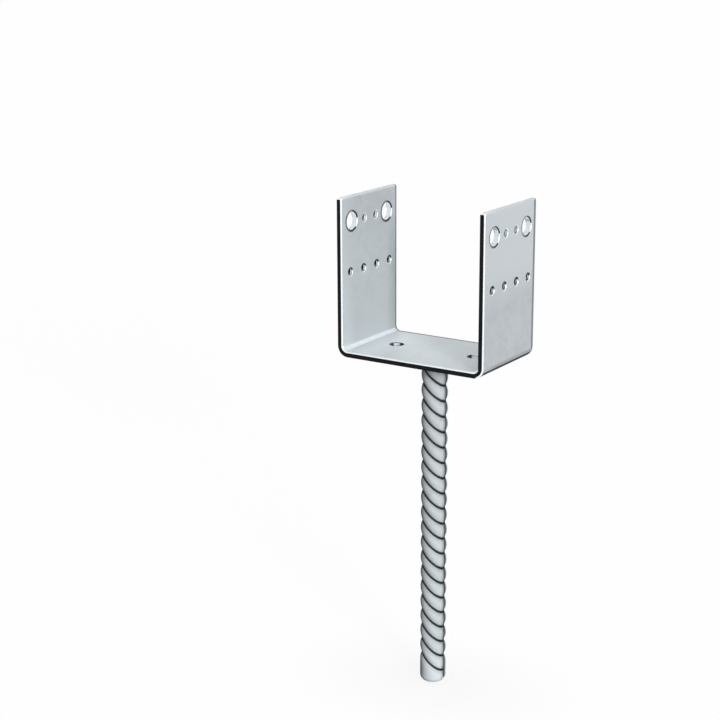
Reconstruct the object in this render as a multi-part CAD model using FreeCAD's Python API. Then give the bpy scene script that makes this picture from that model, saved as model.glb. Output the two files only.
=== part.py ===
import FreeCAD, Part
import math
import os

# Timber post base for casting into concrete: one folded steel fork, a ribbed bar butted
# against its underside, and the weld bead that joins the two. All lengths in millimetres.
# Frame: X across the fork, Y along the seat's depth, Z up. The origin is the centre of the
# post seat, which is the top face of the fork's base.

# Fork, folded from one strip of sheet
clear_width = 120.0
sheet = 5.0
strip_depth = 80.0
fork_height = 125.0
bend_inside = 4.0
edge_bevel = 1.2

# Holes in each cheek, measured down from its top edge: two bolt holes with a pair of nail
# holes between them, and a row of nail holes lower down
bolt_hole_d = 14.0
bolt_hole_drop = 19.5
bolt_hole_spacing = 50.0
nail_hole_d = 6.0
nail_pair_spacing = 16.0
nail_row_drop = 59.2
nail_row_count = 4
nail_row_spacing = 18.7

# Holes in the base, on the X axis
base_hole_d = 11.0
base_hole_spacing = 70.4

# Ribbed bar. The ribs are broad crescents, cut by sloping planes, in two staggered rows.
# Their crowns lie on a cylinder set off from the bar's axis, so they fade towards the seams.
bar_length = 275.0
bar_core_d = 17.8
rib_height = 1.5
crown_offset = 0.5
rib_pitch = 12.7
groove_width = 1.8
rib_slope_deg = 38.2
first_rib_drop = 8.5
row_stagger = 2.2
seam_angle = 9.5
seam_width = 2.8
seam_height = 1.15
seam_flank_run = 0.5
bar_end_bevel = 1.5

# Weld bead between the bar and the underside
weld_leg = 5.5
weld_shoulder = 3.2

# How far a tool runs past the face that it cuts, and how deep a seam is rooted in the core
overrun = 2.0
seam_root = 1.0

# Levels and half sizes that follow from the sizes above
seat_z = 0.0
underside_z = seat_z - sheet
cheek_top_z = underside_z + fork_height
half_inside = clear_width / 2
half_outside = half_inside + sheet
half_depth = strip_depth / 2
bar_core_r = bar_core_d / 2
bar_end_z = underside_z - bar_length


def arc_edge(centre_x, centre_z, radius, start_deg, end_deg):
    """Arc in the XZ plane about a centre, from one angle to another."""
    points = []
    for share in (0.0, 0.5, 1.0):
        angle = math.radians(start_deg + share * (end_deg - start_deg))
        x = centre_x + radius * math.cos(angle)
        z = centre_z + radius * math.sin(angle)
        points.append(FreeCAD.Vector(x, 0, z))
    return Part.Arc(*points).toShape()


def line_edge(x1, z1, x2, z2):
    """Straight edge in the XZ plane."""
    return Part.LineSegment(FreeCAD.Vector(x1, 0, z1), FreeCAD.Vector(x2, 0, z2)).toShape()


def fork_section():
    """Closed U outline of the folded sheet in the XZ plane."""
    bend_outside = bend_inside + sheet
    bend_x = half_inside - bend_inside
    bend_z = seat_z + bend_inside
    edges = [
        line_edge(-half_outside, cheek_top_z, -half_outside, bend_z),
        arc_edge(-bend_x, bend_z, bend_outside, 180, 270),
        line_edge(-bend_x, underside_z, bend_x, underside_z),
        arc_edge(bend_x, bend_z, bend_outside, 270, 360),
        line_edge(half_outside, bend_z, half_outside, cheek_top_z),
        line_edge(half_outside, cheek_top_z, half_inside, cheek_top_z),
        line_edge(half_inside, cheek_top_z, half_inside, bend_z),
        arc_edge(bend_x, bend_z, bend_inside, 360, 270),
        line_edge(bend_x, seat_z, -bend_x, seat_z),
        arc_edge(-bend_x, bend_z, bend_inside, 270, 180),
        line_edge(-half_inside, bend_z, -half_inside, cheek_top_z),
        line_edge(-half_inside, cheek_top_z, -half_outside, cheek_top_z),
    ]
    return Part.Face(Part.Wire(edges))


def is_cut_edge(edge):
    """True for an edge that lies in a sheared face: the front, the back or a cheek's top."""
    box = edge.BoundBox
    tolerance = 1e-4
    on_front = abs(box.YMin + half_depth) < tolerance and box.YLength < tolerance
    on_back = abs(box.YMax - half_depth) < tolerance and box.YLength < tolerance
    on_top = abs(box.ZMin - cheek_top_z) < tolerance and box.ZLength < tolerance
    return on_front or on_back or on_top


def drill(diameter, x, y, z, along):
    """Drill for one punched hole, long enough to pass right through the sheet there."""
    start = FreeCAD.Vector(x, y, z) - along * overrun
    return Part.makeCylinder(diameter / 2, sheet + 2 * overrun, start, along)


def row_offsets(count, spacing):
    """Places of evenly spaced holes in a row, about the row's middle."""
    return [(index - (count - 1) / 2) * spacing for index in range(count)]


def cheek_hole_places():
    """Diameter, Y and Z of each hole in a cheek."""
    bolt_z = cheek_top_z - bolt_hole_drop
    row_z = cheek_top_z - nail_row_drop
    places = [(bolt_hole_d, y, bolt_z) for y in row_offsets(2, bolt_hole_spacing)]
    places += [(nail_hole_d, y, bolt_z) for y in row_offsets(2, nail_pair_spacing)]
    places += [(nail_hole_d, y, row_z) for y in row_offsets(nail_row_count, nail_row_spacing)]
    return places


def fork_drills():
    """Every drill for the fork: the same holes in both cheeks, and the two in the base."""
    along_x = FreeCAD.Vector(1, 0, 0)
    along_z = FreeCAD.Vector(0, 0, 1)
    drills = []
    for diameter, y, z in cheek_hole_places():
        for start_x in (-half_outside, half_inside):
            drills.append(drill(diameter, start_x, y, z, along_x))
    for x in row_offsets(2, base_hole_spacing):
        drills.append(drill(base_hole_d, x, 0, underside_z, along_z))
    return drills


def make_fork():
    """Folded fork: extruded U, broken sheared edges, punched holes."""
    section = fork_section()
    section.translate(FreeCAD.Vector(0, -half_depth, 0))
    blank = section.extrude(FreeCAD.Vector(0, strip_depth, 0))
    bevel = min(edge_bevel, 0.45 * sheet)
    blank = blank.makeChamfer(bevel, [edge for edge in blank.Edges if is_cut_edge(edge)])
    return blank.cut(fork_drills())


def make_rib():
    """One crescent rib, facing +X with its middle at z = 0. It falls towards +Y. It is the
    part of a sloping slab inside the crown's cylinder, and its ends stop inside the seams."""
    reach = bar_core_r + rib_height + overrun
    end_x = seam_width / 4
    fall = reach * math.tan(math.radians(rib_slope_deg))
    half_width = (rib_pitch - groove_width) / 2
    outline = [
        (-reach, fall - half_width),
        (-reach, fall + half_width),
        (reach, half_width - fall),
        (reach, -half_width - fall),
        (-reach, fall - half_width),
    ]
    wire = Part.makePolygon([FreeCAD.Vector(end_x, y, z) for y, z in outline])
    slab = Part.Face(wire).extrude(FreeCAD.Vector(reach, 0, 0))
    crown_r = bar_core_r + rib_height - crown_offset
    tall = 2 * (fall + half_width)
    crown = Part.makeCylinder(crown_r, tall)
    crown.rotate(FreeCAD.Vector(0, 0, 0), FreeCAD.Vector(0, 0, 1), 180)
    crown.translate(FreeCAD.Vector(crown_offset, 0, -tall / 2))
    return slab.common(crown)


def rib_rows():
    """Both rows of ribs, the second one turned half round the bar and a little lower."""
    master = make_rib()
    lowest = bar_end_z + master.BoundBox.ZMin
    ribs = []
    for row in range(2):
        middle_z = underside_z - first_rib_drop + rib_pitch - row * row_stagger
        while middle_z > lowest:
            rib = master.copy()
            angle = seam_angle - 90 + row * 180
            rib.rotate(FreeCAD.Vector(0, 0, 0), FreeCAD.Vector(0, 0, 1), angle)
            rib.translate(FreeCAD.Vector(0, 0, middle_z))
            ribs.append(rib)
            middle_z -= rib_pitch
    return ribs


def make_seam(angle_deg):
    """Longitudinal rib along the bar, where the two rows of crescents meet."""
    foot = seam_width / 2
    top = foot - seam_flank_run
    inner = bar_core_r - seam_root
    outer = bar_core_r + seam_height
    points = [(inner, -foot), (bar_core_r, -foot), (outer, -top)]
    points += [(outer, top), (bar_core_r, foot), (inner, foot), (inner, -foot)]
    wire = Part.makePolygon([FreeCAD.Vector(x, y, bar_end_z) for x, y in points])
    seam = Part.Face(wire).extrude(FreeCAD.Vector(0, 0, bar_length))
    seam.rotate(FreeCAD.Vector(0, 0, 0), FreeCAD.Vector(0, 0, 1), angle_deg)
    return seam


def bar_envelope():
    """Solid that cuts the bar to length: flat at the top, bevelled all round at the low end.
    It stands clear of the ribs' crowns everywhere but at the bevel."""
    end_r = bar_core_r + rib_height - bar_end_bevel
    cone_height = bar_end_bevel + overrun
    shank_r = end_r + cone_height
    cone = Part.makeCone(end_r, shank_r, cone_height)
    shank = Part.makeCylinder(shank_r, bar_length - cone_height)
    shank.translate(FreeCAD.Vector(0, 0, cone_height))
    envelope = cone.fuse(shank)
    envelope.translate(FreeCAD.Vector(0, 0, bar_end_z))
    return envelope


def make_bar():
    """Ribbed bar: round core, two longitudinal seams and two staggered rows of crescents."""
    core = Part.makeCylinder(bar_core_r, bar_length, FreeCAD.Vector(0, 0, bar_end_z))
    seams = [make_seam(seam_angle), make_seam(seam_angle + 180)]
    return core.multiFuse(seams + rib_rows()).common(bar_envelope())


def make_weld(bar):
    """Fillet weld all round the bar's top end, its inner face shaped by the bar."""
    inner = bar_core_r - seam_root
    outer = bar_core_r + rib_height + weld_leg
    toe_z = underside_z - weld_leg
    outline = [
        (inner, underside_z),
        (outer, underside_z),
        (bar_core_r + rib_height + weld_shoulder, underside_z - weld_shoulder),
        (bar_core_r, toe_z),
        (inner, toe_z),
        (inner, underside_z),
    ]
    wire = Part.makePolygon([FreeCAD.Vector(r, 0, z) for r, z in outline])
    ring = Part.Face(wire).revolve(FreeCAD.Vector(0, 0, 0), FreeCAD.Vector(0, 0, 1), 360)
    return ring.cut(bar)


def save(name, shape):
    """Check one sub-part and write its STEP file."""
    shape = shape.removeSplitter()
    print(name, "valid", shape.isValid(), "solids", len(shape.Solids), "volume", round(shape.Volume, 1))
    shape.exportStep("parts/" + name + ".step")


os.makedirs("parts", exist_ok=True)
anchor_bar = make_bar()
save("fork", make_fork())
save("anchor_bar", anchor_bar)
save("weld_bead", make_weld(anchor_bar))
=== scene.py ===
import bpy
import math

import numpy as np
from mathutils import Matrix, Vector


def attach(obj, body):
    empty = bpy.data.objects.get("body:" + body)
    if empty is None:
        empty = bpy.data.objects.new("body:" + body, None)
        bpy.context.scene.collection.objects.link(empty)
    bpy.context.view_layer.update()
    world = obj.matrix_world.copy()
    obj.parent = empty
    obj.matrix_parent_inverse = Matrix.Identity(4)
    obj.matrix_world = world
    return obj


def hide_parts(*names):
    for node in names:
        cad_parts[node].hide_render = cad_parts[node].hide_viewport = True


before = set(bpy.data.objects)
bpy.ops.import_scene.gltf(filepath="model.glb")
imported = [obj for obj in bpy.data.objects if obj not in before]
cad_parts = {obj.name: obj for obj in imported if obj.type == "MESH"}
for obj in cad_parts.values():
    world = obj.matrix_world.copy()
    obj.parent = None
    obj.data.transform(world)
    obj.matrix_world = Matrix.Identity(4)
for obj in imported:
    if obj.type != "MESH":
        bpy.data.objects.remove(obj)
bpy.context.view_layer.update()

# Lengths are in millimetres in the part's own frame: X across the fork, Y along the seat's
# depth, Z up, and the seat at z = 0. MM turns them into Blender's metres.
MM = 0.001

# Fork. Its sheared edges are rounded, in place of the solid's small bevels.
HALF_INSIDE = 60.0
SHEET = 5.0
HALF_OUTSIDE = HALF_INSIDE + SHEET
HALF_DEPTH = 40.0
CHEEK_TOP = 120.0
BEND_INSIDE = 4.0
BEND_STEPS = 24
EDGE_ROUND = 1.5
ROUND_STEPS = 6
# The last inset of the rounding stops just short, so that no corner closes to a point
ROUND_SHARE = 0.999

# Holes of the cheeks and the base
BOLT_HOLE_R = 7.0
BOLT_HOLE_Y = (-25.0, 25.0)
BOLT_HOLE_Z = 100.5
NAIL_HOLE_R = 3.0
NAIL_PAIR_Y = (-8.0, 8.0)
NAIL_ROW_Y = (-28.05, -9.35, 9.35, 28.05)
NAIL_ROW_Z = 60.8
BASE_HOLE_R = 5.5
BASE_HOLE_X = (-35.2, 35.2)

# Rounding of the holes' rims. A bolt hole's rim is wide on the post's side only.
BOLT_RIM = 0.85
NAIL_RIM = 0.75
BASE_RIM = 0.5
RIM_STEPS = 4
LARGE_HOLE_TURNS = 56
NAIL_HOLE_TURNS = 36
# How far a cutter stands out of the sheet, and how far its flare begins outside it
CUTTER_REACH = 2.0
CUTTER_CLEAR = 0.01

# Telling the fork's faces apart: slack in a place, and limits of a face's normal
PLACE_SLACK = 0.1
RIM_SLACK = 0.02
EDGE_SLACK = 0.01
WALL_SLANT = 0.02
FLAT = 0.999
SHEARED = 0.97
ARRIS_FROM, ARRIS_TO = 0.15, 0.92
TOP_EDGE_SLANT = 0.3
INNER_BEND_FROM, INNER_BEND_TO = 0.3, 0.95
OUTER_BEND_FROM, OUTER_BEND_TO = 0.45, 0.92

# Parts of a rim that carry painted shade, in shares of the hole's radius from its centre
BOLT_RIM_DARK_ABOVE = 0.25
BOLT_RIM_DARK_BEHIND = -0.1
BOLT_RIM_DARK_BELOW = -0.75
ROW_RIM_DARK_ABOVE = 0.3

# Ribbed bar: two staggered rows of crescent ribs between two seams along the bar. Below the
# last groove it is plain, down to its rounded end. The ribs have their slope at RIB_MIDDLE
# over the core.
BAR_TOP = -5.0
BAR_END = -280.0
CORE_R = 8.9
RIB_HEIGHT = 1.6
RIB_MIDDLE = 0.9
CROWN_OFFSET = 0.1
RIB_PITCH = 12.76
RIB_SLOPE = math.radians(38.2)
FIRST_RIB_DROP = 8.3
LAST_GROOVE = 20
ROW_STAGGER = 2.2
GROOVE_SINK = 0.4
GROOVE_RUN = 2.2
SEAM_ANGLE = math.radians(9.5)
SEAM_WIDTH = 2.8
SEAM_HEIGHT = 0.5
SEAM_ROUND = 0.9
SEAM_FLANK = 0.75
END_ROUND = 4.6
BAR_TURNS = 140
BAR_ROWS = 600
END_ROWS = 12

# How the ribs sink beside the seams: share, where it starts to end, and over which run
SEAM_DIP, SEAM_DIP_START, SEAM_DIP_RUN = 0.45, 1.2, 1.6

# Painted shade and highlights on the bar: strength, half width and fade of a line or a soft tone,
# for painted shade in the grooves and under them, a painted highlight on the crest above them,
# and painted shade on and beside the seams. Where a groove's line is fainter than GROOVE_LEAST, the
# trail under it and the crest take its place.
GROOVE_LINE, GROOVE_FADE = 0.55, 1.4
GROOVE_LEAST = 0.02
TRAIL_TONE, TRAIL_FADE = 0.30, 6.0
CREST_TONE, CREST_PLACE, CREST_WIDTH = 0.6, 2.6, 0.9
SEAM_TONE, SEAM_LINE, SEAM_FADE = 0.85, 1.2, 0.9
SHADE_TONE, SHADE_START, SHADE_FADE = 0.55, 1.4, 4.2
# Colours of the painted highlight on the crests and of the painted shade in the grooves
CREST_HIGHLIGHT_COLOUR = (0.97, 0.97, 0.97)
GROOVE_SHADE_COLOUR = (0.02, 0.023, 0.026)

# Weld bead, a ring with its back inside the bar and its root a little inside the sheet. It
# may bulge below its toe by WELD_LOWEST.
WELD_REACH = 5.4
WELD_DROP = 5.3
WELD_SINK = 0.05
WELD_BULGE = 0.9
WELD_TOE = 0.3
WELD_BACK = 0.6
WELD_LOWEST = 0.2
RIPPLES = 34
RIPPLE_HEIGHT = 0.28
RIPPLE_LEAN = 2.2
WELD_TURNS = 204
WELD_STEPS = 12
# Share of the bulge that goes outwards and that goes down
DIAGONAL = 0.7

# Zinc: scales of its mottling, crystals and grain, and the spread of its roughness
MOTTLE_SCALE = 34.0
CRYSTAL_SCALE = 170.0
GRAIN_SCALE = 620.0
GRAIN_RELIEF = 0.0003
SMOOTHER, ROUGHER = 0.06, 0.08

# Painted shadow rings round the bolt holes, a little forward of them, and the fades of painted
# marks of light and shade
RING_SHIFT = 0.9
RING_FADE = 0.2
BAND_FADE = 0.25

# Looks of the fork, in the order of its material slots, most of them painted light or shade. A zone
# is an axis, the place where a tone starts, the place where it is full, and the tone. A ring is the
# holes' Y and Z, the ring's radius and half width, and its tone. A band is an axis, the middle and
# half width along it, and the tone. Zones, rings and bands paint light and shade in place.
# Nail holes' walls: metal, painted lighter than the sheet as a highlight besides their real
# reflection
HOLE_METAL = dict(dark=0.92, light=0.97, metal=1.0, rough=0.25)
FORK_LOOKS = {
    # Cheeks' inner faces: darker low down, painted light towards the front, a painted shade line
    # along the back edge and a painted shadow ring round the bolt holes
    "face": dict(name="zinc_sheet", dark=0.60, light=0.65, metal=0.05, shine=0.2,
                 zones=(("Z", 60.0, 10.0, 0.575), ("Y", -18.0, -38.0, 0.71),
                        ("Y", 37.2, 37.7, 0.16)),
                 ring=(25.0, 100.5, 7.9, 0.75, 0.12)),
    # Seat: painted light towards the left, painted shade towards the right and a painted shade line
    # along the back edge
    "seat": dict(name="zinc_seat", dark=0.60, light=0.64, metal=0.05, shine=0.2,
                 zones=(("X", -15.0, -50.0, 0.68), ("X", 0.0, 50.0, 0.55),
                        ("Y", 36.0, 36.8, 0.14))),
    # Inner bends: a painted highlight, lighter than the faces, with a painted shade line along the
    # back edge
    "inner_bend": dict(name="zinc_inner_bend_highlight", dark=0.75, light=0.82, metal=0.05, shine=0.3,
                       zones=(("Y", 37.2, 37.7, 0.16),)),
    # Outer faces: a lighter painted copy of the sheet's zinc, painted light on the upper part, a
    # painted shade strip at the back and a painted shadow ring
    "outer": dict(name="zinc_outside", dark=0.68, light=0.74, metal=0.05, shine=0.2,
                  zones=(("Z", 40.0, 78.0, 0.84), ("Y", 35.4, 36.4, 0.30)),
                  ring=(25.0, 100.5, 7.7, 0.6, 0.22)),
    # Underside: painted shade
    "under": dict(name="zinc_underside_shade", dark=0.50, light=0.56, metal=0.0, shine=0.1, rough=0.6),
    # Lower part of the outer bends: near-black painted shade
    "bend": dict(name="zinc_bend_shade", dark=0.07, light=0.10, metal=0.0, shine=0.05, rough=0.6),
    # Sheared faces and the outer part of the front rounding: near-black painted shade
    "cut": dict(name="zinc_cut_edge_shade", dark=0.010, light=0.02, metal=0.0, rough=0.7, shine=0.1),
    # Front arris: a painted highlight
    "edge": dict(name="zinc_arris_highlight", dark=0.92, light=0.97, metal=0.9, rough=0.3),
    # Dark parts of the holes' rims: painted shade
    "rim": dict(name="zinc_hole_rim_shade", dark=0.03, light=0.045, metal=0.0, shine=0.1),
    # The other parts of the rims: a painted highlight
    "bright_rim": dict(name="zinc_rim_highlight", dark=0.92, light=0.97, metal=0.7, rough=0.35,
                       shine=0.2),
    # Bolt holes' walls: metal, painted lighter than the sheet as a highlight besides their real
    # reflection
    "big_wall": dict(name="zinc_bolt_hole", dark=0.72, light=0.78, metal=1.0, rough=0.2),
    # Their zones paint shade deep inside each wall
    "pair_left": dict(name="zinc_pair_left", zones=(("X", -61.9, -62.5, 0.14),), **HOLE_METAL),
    "pair_right": dict(name="zinc_pair_right", zones=(("X", 63.1, 62.5, 0.22),), **HOLE_METAL),
    "row_left": dict(name="zinc_row_left", zones=(("X", -61.8, -62.3, 0.012),), **HOLE_METAL),
    "row_right": dict(name="zinc_row_right", zones=(("X", 63.2, 62.7, 0.03),), **HOLE_METAL),
    # Base holes' walls: painted shade with a lighter painted band, the right one metal
    "base_left": dict(name="zinc_base_left", dark=0.05, light=0.07, metal=0.0,
                      band=("X", 37.7, 2.1, 0.95)),
    "base_right": dict(name="zinc_base_right", dark=0.05, light=0.07, metal=0.7, rough=0.3,
                       band=("X", 36.5, 5.6, 0.85)),
    # Back roundings and top roundings facing into the fork: painted shade
    "painted_dark_edge": dict(name="zinc_dark_edge_shade", dark=0.09, light=0.12, metal=0.0, rough=0.6, shine=0.2),
}
# Bar: its groove attribute adds painted shade and highlights, and its zone paints it lighter, up to
# white, towards its end, as painted light
BAR_LOOK = dict(name="zinc_bar", dark=0.82, light=0.90, metal=0.0, rough=0.75, shine=0.0,
                grooves=True, zones=(("Z", -245.0, -270.0, 1.0),))
WELD_LOOK = dict(name="zinc_weld", dark=0.36, light=0.44, bump=0.3)

# Floor, in metres, just below the bar's end. What is seen of it is nearly all its own white,
# while the light that it throws on the part is dim.
FLOOR_HALF = 30.0
FLOOR_GAP = 0.002
FLOOR_WHITE = 0.9
FLOOR_DIM = (0.08, 0.08, 0.08, 1)
WHITE = (1, 1, 1, 1)

# Light: the world's fill, and for each sun the direction towards it, its strength, its
# spread in degrees and whether gloss shows it
FILL_COLOUR = (0.98, 0.99, 1.0, 1)
FILL_STRENGTH = 0.12
SUNS = (
    ("key", (0.795, -0.555, 0.23), 2.30, 16, True),
    ("top", (0.0, 0.0, 1.0), 1.82, 20, False),
    ("back", (-0.56, 0.82, 0.02), 2.6, 16, False),
)

# Camera fitted to the photograph: angles in degrees, lengths in millimetres, and the focal
# length in pixels of the photograph's frame
CAMERA_AZIMUTH = 33.351
CAMERA_ELEVATION = 15.293
CAMERA_ROLL = -0.317
CAMERA_DISTANCE = 1313.21
CAMERA_TARGET = (-70.132, 0.0, -18.028)
FOCAL_PIXELS = 1629.86
FRAME_PIXELS = 720
SENSOR_WIDTH = 36.0
CLIP_NEAR = 0.05
CLIP_FAR = 100.0


def lerp(a, b, share):
    return a + (b - a) * share


def smooth(t):
    """Soft step from 0 to 1 while t goes from 0 to 1."""
    t = np.clip(t, 0.0, 1.0)
    return t * t * (3 - 2 * t)


def fade(distance, start, run):
    """1 up to a distance of start, then falling softly to 0 over the run."""
    return 1 - smooth((distance - start) / run)


def new_object(name, mesh):
    piece = bpy.data.objects.new(name, mesh)
    bpy.context.scene.collection.objects.link(piece)
    return piece


def mesh_from(name, points_mm, faces):
    mesh = bpy.data.meshes.new(name)
    mesh.from_pydata([tuple(c * MM for c in p) for p in points_mm], [], faces)
    mesh.validate()
    mesh.update()
    return mesh


def bridge(start_a, start_b, count):
    """Faces between two closed rings of points, given by the number of each ring's first."""
    faces = []
    for j in range(count):
        k = (j + 1) % count
        faces.append((start_a + j, start_a + k, start_b + k, start_b + j))
    return faces


def arc_points(cx, cz, radius, start, end, steps):
    points = []
    for k in range(steps + 1):
        angle = math.radians(lerp(start, end, k / steps))
        points.append((cx + radius * math.cos(angle), cz + radius * math.sin(angle)))
    return points


def section(inset):
    """Closed U outline of the sheet, drawn in by inset, with rounded top corners."""
    corner_z = CHEEK_TOP - EDGE_ROUND
    corner_r = EDGE_ROUND - inset
    bend_x = HALF_INSIDE - BEND_INSIDE
    inner_r = BEND_INSIDE + inset
    outer_r = BEND_INSIDE + SHEET - inset
    points = arc_points(-HALF_OUTSIDE + EDGE_ROUND, corner_z, corner_r, 180, 90, ROUND_STEPS)
    points += arc_points(-HALF_INSIDE - EDGE_ROUND, corner_z, corner_r, 90, 0, ROUND_STEPS)
    points += arc_points(-bend_x, BEND_INSIDE, inner_r, 180, 270, BEND_STEPS)
    points += arc_points(bend_x, BEND_INSIDE, inner_r, 270, 360, BEND_STEPS)
    points += arc_points(HALF_INSIDE + EDGE_ROUND, corner_z, corner_r, 180, 90, ROUND_STEPS)
    points += arc_points(HALF_OUTSIDE - EDGE_ROUND, corner_z, corner_r, 90, 0, ROUND_STEPS)
    points += arc_points(bend_x, BEND_INSIDE, outer_r, 360, 270, BEND_STEPS)
    points += arc_points(-bend_x, BEND_INSIDE, outer_r, 270, 180, BEND_STEPS)
    return points


def fork_blank():
    """Folded sheet with every sheared edge rounded, and no holes yet."""
    layers = []
    for k in range(ROUND_STEPS + 1):
        angle = math.pi / 2 * (1 - k / ROUND_STEPS)
        y = HALF_DEPTH - EDGE_ROUND + EDGE_ROUND * math.sin(angle)
        layers.append((-y, EDGE_ROUND * (1 - math.cos(angle)) * ROUND_SHARE))
    layers += [(-y, inset) for y, inset in reversed(layers)]
    count = len(section(0.0))
    points, faces = [], []
    for y, inset in layers:
        points += [(x, y, z) for x, z in section(inset)]
    for k in range(len(layers) - 1):
        faces += bridge(k * count, (k + 1) * count, count)
    faces.append(tuple(reversed(range(count))))
    faces.append(tuple(range((len(layers) - 1) * count, len(layers) * count)))
    return mesh_from("fork_sheet", points, faces)


def hole_cutter(radius, low_rim, high_rim):
    """Cutter along Z through a sheet that lies between 0 and SHEET, flared at both faces."""

    def flare(rim):
        points = [(-CUTTER_REACH, radius + rim), (-CUTTER_CLEAR, radius + rim)]
        for k in range(1, RIM_STEPS + 1):
            angle = math.pi / 2 * k / RIM_STEPS
            points.append((rim - rim * math.cos(angle), radius + rim - rim * math.sin(angle)))
        return points

    turns = NAIL_HOLE_TURNS if radius == NAIL_HOLE_R else LARGE_HOLE_TURNS
    profile = flare(low_rim) + [(SHEET - z, r) for z, r in reversed(flare(high_rim))]
    points, faces = [], []
    for z, r in profile:
        for j in range(turns):
            turn = 2 * math.pi * j / turns
            points.append((r * math.cos(turn), r * math.sin(turn), z))
    for k in range(len(profile) - 1):
        faces += bridge(k * turns, (k + 1) * turns, turns)
    last = (len(profile) - 1) * turns
    faces.append(tuple(reversed(range(turns))))
    faces.append(tuple(range(last, last + turns)))
    return points, faces


def rim_of(radius):
    """Rounding of a cheek hole's rim on the post's side."""
    return NAIL_RIM if radius == NAIL_HOLE_R else BOLT_RIM


def cheek_holes():
    """Radius, Y and Z of each hole in a cheek."""
    holes = [(BOLT_HOLE_R, y, BOLT_HOLE_Z) for y in BOLT_HOLE_Y]
    holes += [(NAIL_HOLE_R, y, BOLT_HOLE_Z) for y in NAIL_PAIR_Y]
    holes += [(NAIL_HOLE_R, y, NAIL_ROW_Z) for y in NAIL_ROW_Y]
    return holes


def cutters():
    """One mesh with every hole cutter in place."""
    points, faces = [], []

    def add(radius, place, along_x, low_rim, high_rim):
        first = len(points)
        local, local_faces = hole_cutter(radius, low_rim, high_rim)
        for a, b, c in local:
            offset = (c, a, b) if along_x else (a, b, c)
            points.append(tuple(p + q for p, q in zip(place, offset)))
        faces.extend(tuple(first + i for i in face) for face in local_faces)

    for radius, y, z in cheek_holes():
        inner_rim = rim_of(radius)
        outer_rim = min(inner_rim, NAIL_RIM)
        add(radius, (-HALF_OUTSIDE, y, z), True, outer_rim, inner_rim)
        add(radius, (HALF_INSIDE, y, z), True, inner_rim, outer_rim)
    for x in BASE_HOLE_X:
        add(BASE_HOLE_R, (x, 0.0, -SHEET), False, BASE_RIM, BASE_RIM)
    return mesh_from("hole_cutters", points, faces)


def apply_modifiers(piece):
    """Gives the piece the mesh that its modifiers make, and returns that mesh."""
    graph = bpy.context.evaluated_depsgraph_get()
    mesh = bpy.data.meshes.new_from_object(piece.evaluated_get(graph))
    piece.modifiers.clear()
    old = piece.data
    piece.data = mesh
    bpy.data.meshes.remove(old)
    return mesh


def cheek_hole_look(x, y, z, on_rim, hole):
    """Look of a face in a cheek's hole. Parts of the rims carry painted shade, the others a painted
    highlight.
    """
    radius, hole_y, hole_z = hole
    above = z - hole_z
    if radius == BOLT_HOLE_R:
        if not on_rim:
            return "big_wall"
        behind = y > hole_y + BOLT_RIM_DARK_BEHIND * radius
        dark_top = above > BOLT_RIM_DARK_ABOVE * radius and behind
        return "rim" if dark_top or above < BOLT_RIM_DARK_BELOW * radius else "bright_rim"
    in_row = hole_z == NAIL_ROW_Z
    if on_rim:
        return "rim" if in_row and above > ROW_RIM_DARK_ABOVE * radius else "bright_rim"
    return ("row_" if in_row else "pair_") + ("left" if x < 0 else "right")


def hole_look(x, y, z, n):
    """Look of a face in a hole, or nothing if it isn't in one."""
    if abs(x) > HALF_INSIDE - PLACE_SLACK and abs(n.x) < FLAT:
        for hole in cheek_holes():
            radius, hole_y, hole_z = hole
            reach = radius + rim_of(radius) + RIM_SLACK
            if math.hypot(y - hole_y, z - hole_z) < reach:
                return cheek_hole_look(x, y, z, abs(n.x) > WALL_SLANT, hole)
    if z < PLACE_SLACK and abs(n.z) < FLAT:
        for hole_x in BASE_HOLE_X:
            if math.hypot(x - hole_x, y) < BASE_HOLE_R + BASE_RIM + RIM_SLACK:
                # Rim of the left base hole: painted shade
                if abs(n.z) > WALL_SLANT and x < 0:
                    return "rim"
                return "base_left" if x < 0 else "base_right"
    return None


def sheet_look(x, y, z, n):
    """Look of a face outside the holes, by its place and its normal."""
    # Sheared front and back faces: near-black painted shade
    if abs(n.y) > SHEARED:
        return "cut"
    # Front roundings: a painted highlight near the face, near-black painted shade beyond; back
    # roundings: painted shade
    if abs(y) > HALF_DEPTH - EDGE_ROUND + EDGE_SLACK:
        across = max(n.x, n.z)
        if y > 0:
            return "painted_dark_edge"
        if across > ARRIS_TO:
            return "face"
        return "cut" if across < ARRIS_FROM else "edge"
    # Top roundings facing into the fork: painted shade
    if z > CHEEK_TOP - EDGE_ROUND + EDGE_SLACK and n.x < -TOP_EDGE_SLANT:
        return "painted_dark_edge"
    if abs(x) > HALF_OUTSIDE - PLACE_SLACK:
        return "outer"
    if n.z > FLAT and z < PLACE_SLACK:
        return "seat"
    # Inner bends: a painted highlight
    if INNER_BEND_FROM < n.z < INNER_BEND_TO and z < BEND_INSIDE:
        return "inner_bend"
    # Lower part of the outer bends and the underside: painted shade
    if n.z < -OUTER_BEND_FROM:
        return "under" if n.z < -OUTER_BEND_TO else "bend"
    return "face"


def paint_fork(mesh):
    """Gives each face of the fork the number of its look."""
    order = list(FORK_LOOKS)
    for face in mesh.polygons:
        x, y, z = (c / MM for c in face.center)
        look = hole_look(x, y, z, face.normal) or sheet_look(x, y, z, face.normal)
        face.material_index = order.index(look)


def make_fork():
    piece = new_object("fork_sheet", fork_blank())
    tool = new_object("hole_cutters", cutters())
    cut = piece.modifiers.new("holes", "BOOLEAN")
    cut.object = tool
    cut.operation = "DIFFERENCE"
    cut.solver = "EXACT"
    mesh = apply_modifiers(piece)
    bpy.data.objects.remove(tool)
    paint_fork(mesh)
    mesh.shade_smooth()
    soften = piece.modifiers.new("normals", "WEIGHTED_NORMAL")
    soften.mode = "FACE_AREA"
    soften.weight = 100
    soften.keep_sharp = True
    return piece


def turn_from(angle, middle):
    """Signed turn from the direction middle to each angle, within half a turn."""
    return (angle - middle + math.pi) % (2 * math.pi) - math.pi


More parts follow.
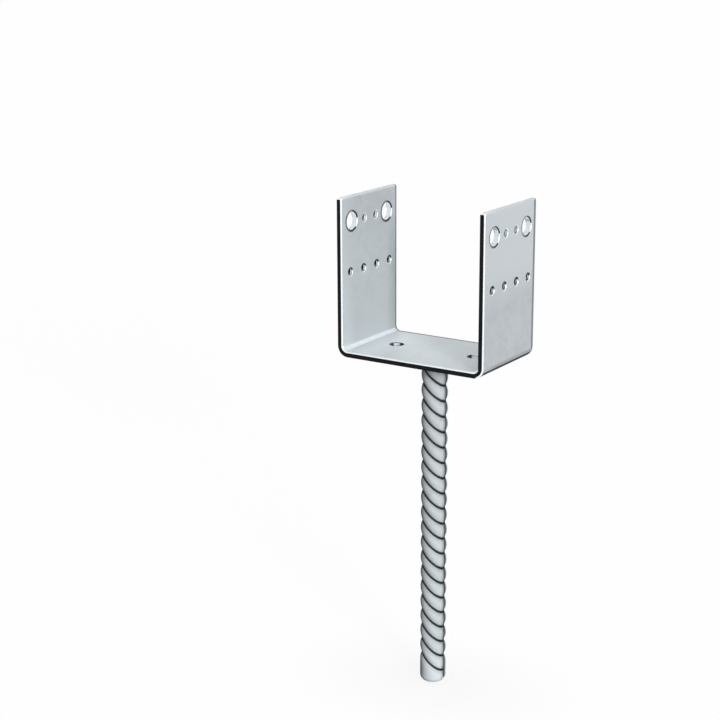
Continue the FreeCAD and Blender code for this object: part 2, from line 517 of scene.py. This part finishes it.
def rib_field(angle, z):
    """Height over the core, and the painted tone of each point: 1 for the painted shade line in a
    groove, less for softer painted shade, and below 0 for a painted highlight on a crest."""
    height = np.zeros_like(z)
    tone = np.zeros_like(z)
    crown_r = CORE_R + RIB_HEIGHT - CROWN_OFFSET
    for row in range(2):
        turn = turn_from(angle, SEAM_ANGLE - math.pi / 2 + row * math.pi)
        here = np.abs(turn) <= math.pi / 2 + 1e-9
        aside = CROWN_OFFSET * np.sin(turn)
        full = CROWN_OFFSET * np.cos(turn) + np.sqrt(crown_r ** 2 - aside ** 2) - CORE_R
        slide = (CORE_R + RIB_MIDDLE) * np.sin(turn) * math.tan(RIB_SLOPE)
        first = BAR_TOP - FIRST_RIB_DROP - row * ROW_STAGGER
        # Share of a pitch, going down from groove to groove, with a rib's back at 0.5
        down = (0.5 - np.maximum((z + slide - first) / RIB_PITCH, -LAST_GROOVE)) % 1.0
        to_groove = np.minimum(down, 1 - down) * RIB_PITCH
        sunk = GROOVE_SINK * fade(to_groove, 0.0, GROOVE_RUN)
        height = np.where(here, full * np.sin(math.pi * down) - sunk, height)
        # Painted shade: a dark line in each groove and a softer trail under it, and a painted
        # highlight on the crest above the next groove
        line = fade(to_groove, GROOVE_LINE, GROOVE_FADE)
        trail = TRAIL_TONE * fade(down * RIB_PITCH, 0.0, TRAIL_FADE)
        from_crest = ((1 - down) * RIB_PITCH - CREST_PLACE) / CREST_WIDTH
        crest = CREST_TONE * np.exp(-from_crest ** 2)
        tone = np.where(here, np.where(line > GROOVE_LEAST, line, trail - crest), tone)
    for side in range(2):
        off = np.abs(turn_from(angle, SEAM_ANGLE + side * math.pi)) * CORE_R
        ridge = SEAM_HEIGHT * fade(off, SEAM_WIDTH / 2 - SEAM_FLANK, SEAM_ROUND)
        dipped = height * (1 - SEAM_DIP * fade(off, SEAM_DIP_START, SEAM_DIP_RUN))
        height = np.maximum(dipped, ridge)
        # Painted shade on each seam, and a softer painted shade beside it
        tone = np.maximum(tone, SEAM_TONE * fade(off, SEAM_LINE, SEAM_FADE))
        tone = np.maximum(tone, SHADE_TONE * fade(off, SHADE_START, SHADE_FADE))
    return height, tone


def bar_levels():
    """Heights of the rings of points, closer together round the rounded end."""
    quarter = [math.pi / 2 * k / END_ROWS for k in range(END_ROWS + 1)]
    tip = [BAR_END + END_ROUND * (1 - math.cos(angle)) for angle in quarter]
    body = np.linspace(BAR_END + END_ROUND, BAR_TOP, BAR_ROWS + 1)[1:]
    return np.array(tip + list(body))


def make_bar():
    levels = bar_levels()
    angle, z = np.meshgrid(np.linspace(0, 2 * math.pi, BAR_TURNS, endpoint=False), levels)
    height, tone = rib_field(angle, z)
    up = np.clip((z - BAR_END) / END_ROUND, 0.0, 1.0)
    draw_in = END_ROUND * (1 - np.sqrt(np.maximum(0.0, 1 - (1 - up) ** 2)))
    radius = CORE_R + height - draw_in
    rings = np.stack([radius * np.cos(angle), radius * np.sin(angle), z], -1).reshape(-1, 3)
    points = np.vstack([rings, [[0, 0, BAR_END]], [[0, 0, BAR_TOP]]])
    low = len(rings)
    high = low + 1
    top = low - BAR_TURNS
    faces = []
    for k in range(len(levels) - 1):
        faces += bridge(k * BAR_TURNS, (k + 1) * BAR_TURNS, BAR_TURNS)
    for j in range(BAR_TURNS):
        k = (j + 1) % BAR_TURNS
        faces.append((low, k, j))
        faces.append((high, top + j, top + k))
    mesh = mesh_from("ribbed_bar", points.tolist(), faces)
    mesh.shade_smooth()
    # The attribute groove carries the bar's painted shade and painted highlights
    layer = mesh.attributes.new("groove", "FLOAT", "POINT")
    layer.data.foreach_set("value", np.append(tone.reshape(-1), [0.0, 0.0]).astype(np.float32))
    return new_object("ribbed_bar", mesh)


def make_weld():
    """Rippled ring of weld round the bar's top end."""
    toe_z = BAR_TOP - WELD_DROP
    root_z = BAR_TOP + WELD_SINK
    turns = [2 * math.pi * j / WELD_TURNS for j in range(WELD_TURNS)]
    points = []
    for k in range(WELD_STEPS + 1):
        share = k / WELD_STEPS
        for turn in turns:
            wave = 0.5 + 0.5 * math.cos(RIPPLES * turn + RIPPLE_LEAN * share)
            bulge = (WELD_BULGE + RIPPLE_HEIGHT * wave) * math.sin(math.pi * share) * DIAGONAL
            r = lerp(CORE_R + RIB_HEIGHT + WELD_REACH, CORE_R + WELD_TOE, share) + bulge
            z = max(lerp(root_z, toe_z, share) - bulge, toe_z - WELD_LOWEST)
            points.append((r * math.cos(turn), r * math.sin(turn), z))
    back = CORE_R - WELD_BACK
    for z in (toe_z, root_z):
        points += [(back * math.cos(turn), back * math.sin(turn), z) for turn in turns]
    rings = len(points) // WELD_TURNS
    faces = []
    for k in range(rings):
        here, there = k * WELD_TURNS, (k + 1) % rings * WELD_TURNS
        for j in range(WELD_TURNS):
            after = (j + 1) % WELD_TURNS
            faces.append((here + j, there + j, there + after, here + after))
    mesh = mesh_from("weld_ring", points, faces)
    mesh.shade_smooth()
    return new_object("weld_ring", mesh)


class Nodes:
    """Short way to build the node tree of a material or a world."""

    def __init__(self, owner):
        owner.use_nodes = True
        self.tree = owner.node_tree
        self.tree.nodes.clear()

    def add(self, kind, values=None, **settings):
        node = self.tree.nodes.new(kind)
        for key, value in settings.items():
            setattr(node, key, value)
        for key, value in (values or {}).items():
            node.inputs[key].default_value = value
        return node

    def link(self, source, target):
        self.tree.links.new(source, target)

    def feed(self, value, socket):
        """Gives a socket a number, a colour or another node's output."""
        if isinstance(value, (int, float)):
            socket.default_value = value
        elif isinstance(value, tuple):
            socket.default_value = (*value, 1)
        else:
            self.link(value, socket)

    def texture(self, kind, where, values):
        node = self.add(kind, values)
        self.link(where, node.inputs["Vector"])
        return node

    def ramp(self, source, low, low_colour, high, high_colour):
        node = self.add("ShaderNodeValToRGB")
        first, last = node.color_ramp.elements
        first.position, first.color = low, (*low_colour, 1)
        last.position, last.color = high, (*high_colour, 1)
        self.link(source, node.inputs["Fac"])
        return node.outputs["Color"]

    def mix(self, factor, a, b, blend="MIX"):
        node = self.add("ShaderNodeMix", data_type="RGBA", blend_type=blend)
        # Sockets of the colour variant: 0 is the factor, 6 and 7 are the colours, 2 is the result
        for value, number in ((factor, 0), (a, 6), (b, 7)):
            self.feed(value, node.inputs[number])
        return node.outputs[2]

    def math(self, operation, a, b=0.0):
        node = self.add("ShaderNodeMath", operation=operation)
        self.feed(a, node.inputs[0])
        self.feed(b, node.inputs[1])
        return node.outputs[0]

    def mix_shaders(self, factor, a, b):
        node = self.add("ShaderNodeMixShader")
        self.feed(factor, node.inputs["Fac"])
        self.link(a.outputs[0], node.inputs[1])
        self.link(b.outputs[0], node.inputs[2])
        return node

    def axis(self, where, name):
        node = self.add("ShaderNodeSeparateXYZ")
        self.link(where, node.inputs[0])
        return node.outputs[name]

    def soft_step(self, source, start, end):
        """0 where the source is start, rising to 1 where it is end, both in millimetres."""
        node = self.add("ShaderNodeMapRange", {"From Min": start * MM, "From Max": end * MM},
                        interpolation_type="SMOOTHSTEP")
        self.link(source, node.inputs["Value"])
        return node.outputs["Result"]

    def beyond(self, where, axis, start, end):
        """0 at the place start along an axis, rising to 1 at the place end."""
        return self.soft_step(self.axis(where, axis), start, end)

    def ring(self, where, y, z, radius, half):
        """1 on a thin ring round the holes at Y plus and minus y and height z, set a little
        forward of them, where a painted shadow ring goes."""
        moved = self.math("ADD", self.axis(where, "Y"), RING_SHIFT * MM)
        across = self.math("SUBTRACT", self.math("ABSOLUTE", moved), y * MM)
        along = self.math("SUBTRACT", self.axis(where, "Z"), z * MM)
        squares = [self.math("MULTIPLY", side, side) for side in (across, along)]
        span = self.math("SQRT", self.math("ADD", *squares))
        off = self.math("ABSOLUTE", self.math("SUBTRACT", span, radius * MM))
        return self.soft_step(off, half + RING_FADE, half - RING_FADE)

    def wall_band(self, where, axis, middle, half):
        """1 in a band across both base holes, at plus and minus the middle along the axis, where a
        lighter painted tone breaks the holes' painted shade.
        """
        place = self.math("ABSOLUTE", self.axis(where, axis))
        off = self.math("ABSOLUTE", self.math("SUBTRACT", place, middle * MM))
        return self.soft_step(off, half + BAND_FADE, half - BAND_FADE)

    def seen_directly(self):
        """1 for rays from the camera, or from it by a mirror or glass, and 0 for light."""
        path = self.add("ShaderNodeLightPath").outputs
        first = self.math("MAXIMUM", path["Is Camera Ray"], path["Is Glossy Ray"])
        return self.math("MAXIMUM", first, path["Is Transmission Ray"])


def grey(value):
    """Linear grey with the faint blue of zinc."""
    return (value * 0.93, value, value * 1.04)


def zinc(name, dark, light, metal=0.35, rough=0.42, grain=0.03, bump=0.12, shine=0.5,
         grooves=False, band=None, zones=(), ring=None):
    """Galvanised steel: pale blue-grey, softly mottled, with a faint crystal pattern."""
    material = bpy.data.materials.new(name)
    n = Nodes(material)
    where = n.add("ShaderNodeTexCoord").outputs["Object"]
    mottle = n.texture("ShaderNodeTexNoise", where,
                       {"Scale": MOTTLE_SCALE, "Detail": 3.0, "Roughness": 0.55})
    fine = n.texture("ShaderNodeTexNoise", where,
                     {"Scale": GRAIN_SCALE, "Detail": 4.0, "Roughness": 0.6}).outputs["Fac"]
    crystals = n.texture("ShaderNodeTexVoronoi", where,
                         {"Scale": CRYSTAL_SCALE, "Randomness": 1.0})
    cells = n.add("ShaderNodeSeparateColor")
    n.link(crystals.outputs["Color"], cells.inputs[0])

    dimmer, brighter = (1 - grain,) * 3, (1 + grain,) * 3
    colour = n.ramp(mottle.outputs["Fac"], 0.30, grey(dark), 0.70, grey(light))
    flecks = n.ramp(cells.outputs[0], 0.0, dimmer, 1.0, brighter)
    colour = n.mix(1.0, colour, flecks, "MULTIPLY")
    dust = n.ramp(fine, 0.3, dimmer, 0.7, brighter)
    colour = n.mix(1.0, colour, dust, "MULTIPLY")
    # Bands, zones and rings paint light and shade in place
    if band:
        colour = n.mix(n.wall_band(where, *band[:-1]), colour, grey(band[-1]))
    for axis, start, end, value in zones:
        colour = n.mix(n.beyond(where, axis, start, end), colour, grey(value))
    if ring:
        colour = n.mix(n.ring(where, *ring[:-1]), colour, grey(ring[-1]))
    # On the bar: a painted highlight on the crests, and painted shade in the grooves, under them
    # and by the seams
    if grooves:
        tone = n.add("ShaderNodeAttribute", attribute_name="groove").outputs["Fac"]
        crest = n.math("MAXIMUM", n.math("MULTIPLY", tone, -1.0), 0.0)
        colour = n.mix(crest, colour, CREST_HIGHLIGHT_COLOUR)
        colour = n.mix(n.math("MAXIMUM", tone, 0.0), colour, GROOVE_SHADE_COLOUR)

    shader = n.add("ShaderNodeBsdfPrincipled", {"Metallic": metal, "Specular IOR Level": shine})
    n.link(colour, shader.inputs["Base Color"])
    polish = n.add("ShaderNodeMapRange", {"To Min": rough - SMOOTHER, "To Max": rough + ROUGHER})
    n.link(fine, polish.inputs["Value"])
    n.link(polish.outputs["Result"], shader.inputs["Roughness"])
    relief = n.add("ShaderNodeBump", {"Strength": bump, "Distance": GRAIN_RELIEF})
    n.link(fine, relief.inputs["Height"])
    n.link(relief.outputs["Normal"], shader.inputs["Normal"])
    out = n.add("ShaderNodeOutputMaterial")
    n.link(shader.outputs["BSDF"], out.inputs["Surface"])
    return material


def white_floor():
    half, z = FLOOR_HALF, BAR_END * MM - FLOOR_GAP
    corners = [(-half, -half, z), (half, -half, z), (half, half, z), (-half, half, z)]
    mesh = bpy.data.meshes.new("floor")
    mesh.from_pydata(corners, [], [(0, 1, 2, 3)])
    floor = new_object("floor", mesh)
    material = bpy.data.materials.new("floor_white")
    n = Nodes(material)
    dim = n.add("ShaderNodeBsdfDiffuse", {"Color": FLOOR_DIM})
    pale = n.add("ShaderNodeBsdfDiffuse", {"Color": WHITE})
    glow = n.add("ShaderNodeEmission", {"Color": WHITE, "Strength": 1.0})
    white = n.mix_shaders(FLOOR_WHITE, pale, glow)
    both = n.mix_shaders(n.seen_directly(), dim, white)
    out = n.add("ShaderNodeOutputMaterial")
    n.link(both.outputs[0], out.inputs["Surface"])
    floor.data.materials.append(material)


def white_world():
    world = bpy.data.worlds.new("studio")
    bpy.context.scene.world = world
    n = Nodes(world)
    fill = n.add("ShaderNodeBackground", {"Color": FILL_COLOUR, "Strength": FILL_STRENGTH})
    white = n.add("ShaderNodeBackground", {"Color": WHITE, "Strength": 1.0})
    both = n.mix_shaders(n.seen_directly(), fill, white)
    out = n.add("ShaderNodeOutputWorld")
    n.link(both.outputs[0], out.inputs["Surface"])


def place_sun(name, toward, strength, spread, glossy):
    data = bpy.data.lights.new(name, "SUN")
    data.energy = strength
    data.angle = math.radians(spread)
    lamp = bpy.data.objects.new(name, data)
    bpy.context.scene.collection.objects.link(lamp)
    lamp.rotation_euler = Vector(toward).to_track_quat("Z", "Y").to_euler()
    lamp.visible_glossy = glossy


def place_camera():
    a, e, roll = (math.radians(v) for v in (CAMERA_AZIMUTH, CAMERA_ELEVATION, CAMERA_ROLL))
    back = Vector((math.sin(a) * math.cos(e), -math.cos(a) * math.cos(e), math.sin(e)))
    level = Vector((math.cos(a), math.sin(a), 0))
    upright = back.cross(level)
    right = math.cos(roll) * level + math.sin(roll) * upright
    up = math.cos(roll) * upright - math.sin(roll) * level
    place = (Vector(CAMERA_TARGET) + back * CAMERA_DISTANCE) * MM
    data = bpy.data.cameras.new("camera")
    data.sensor_width = SENSOR_WIDTH
    data.lens = FOCAL_PIXELS / FRAME_PIXELS * data.sensor_width
    data.clip_start = CLIP_NEAR
    data.clip_end = CLIP_FAR
    camera = bpy.data.objects.new("camera", data)
    turn = Matrix((right, up, back)).transposed().to_4x4()
    camera.matrix_world = Matrix.Translation(place) @ turn
    bpy.context.scene.collection.objects.link(camera)
    bpy.context.scene.camera = camera


fork = make_fork()
bar = make_bar()
weld = make_weld()
for look in FORK_LOOKS.values():
    fork.data.materials.append(zinc(**look))
bar.data.materials.append(zinc(**BAR_LOOK))
weld.data.materials.append(zinc(**WELD_LOOK))
for piece, node, slot in ((fork, "fork", "galvanised_sheet"), (bar, "anchor_bar", "galvanised_bar"),
                          (weld, "weld_bead", "galvanised_weld")):
    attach(piece, "root")
    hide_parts(node)

white_floor()
white_world()
for settings in SUNS:
    place_sun(*settings)
place_camera()
bpy.context.scene.view_settings.view_transform = "Standard"
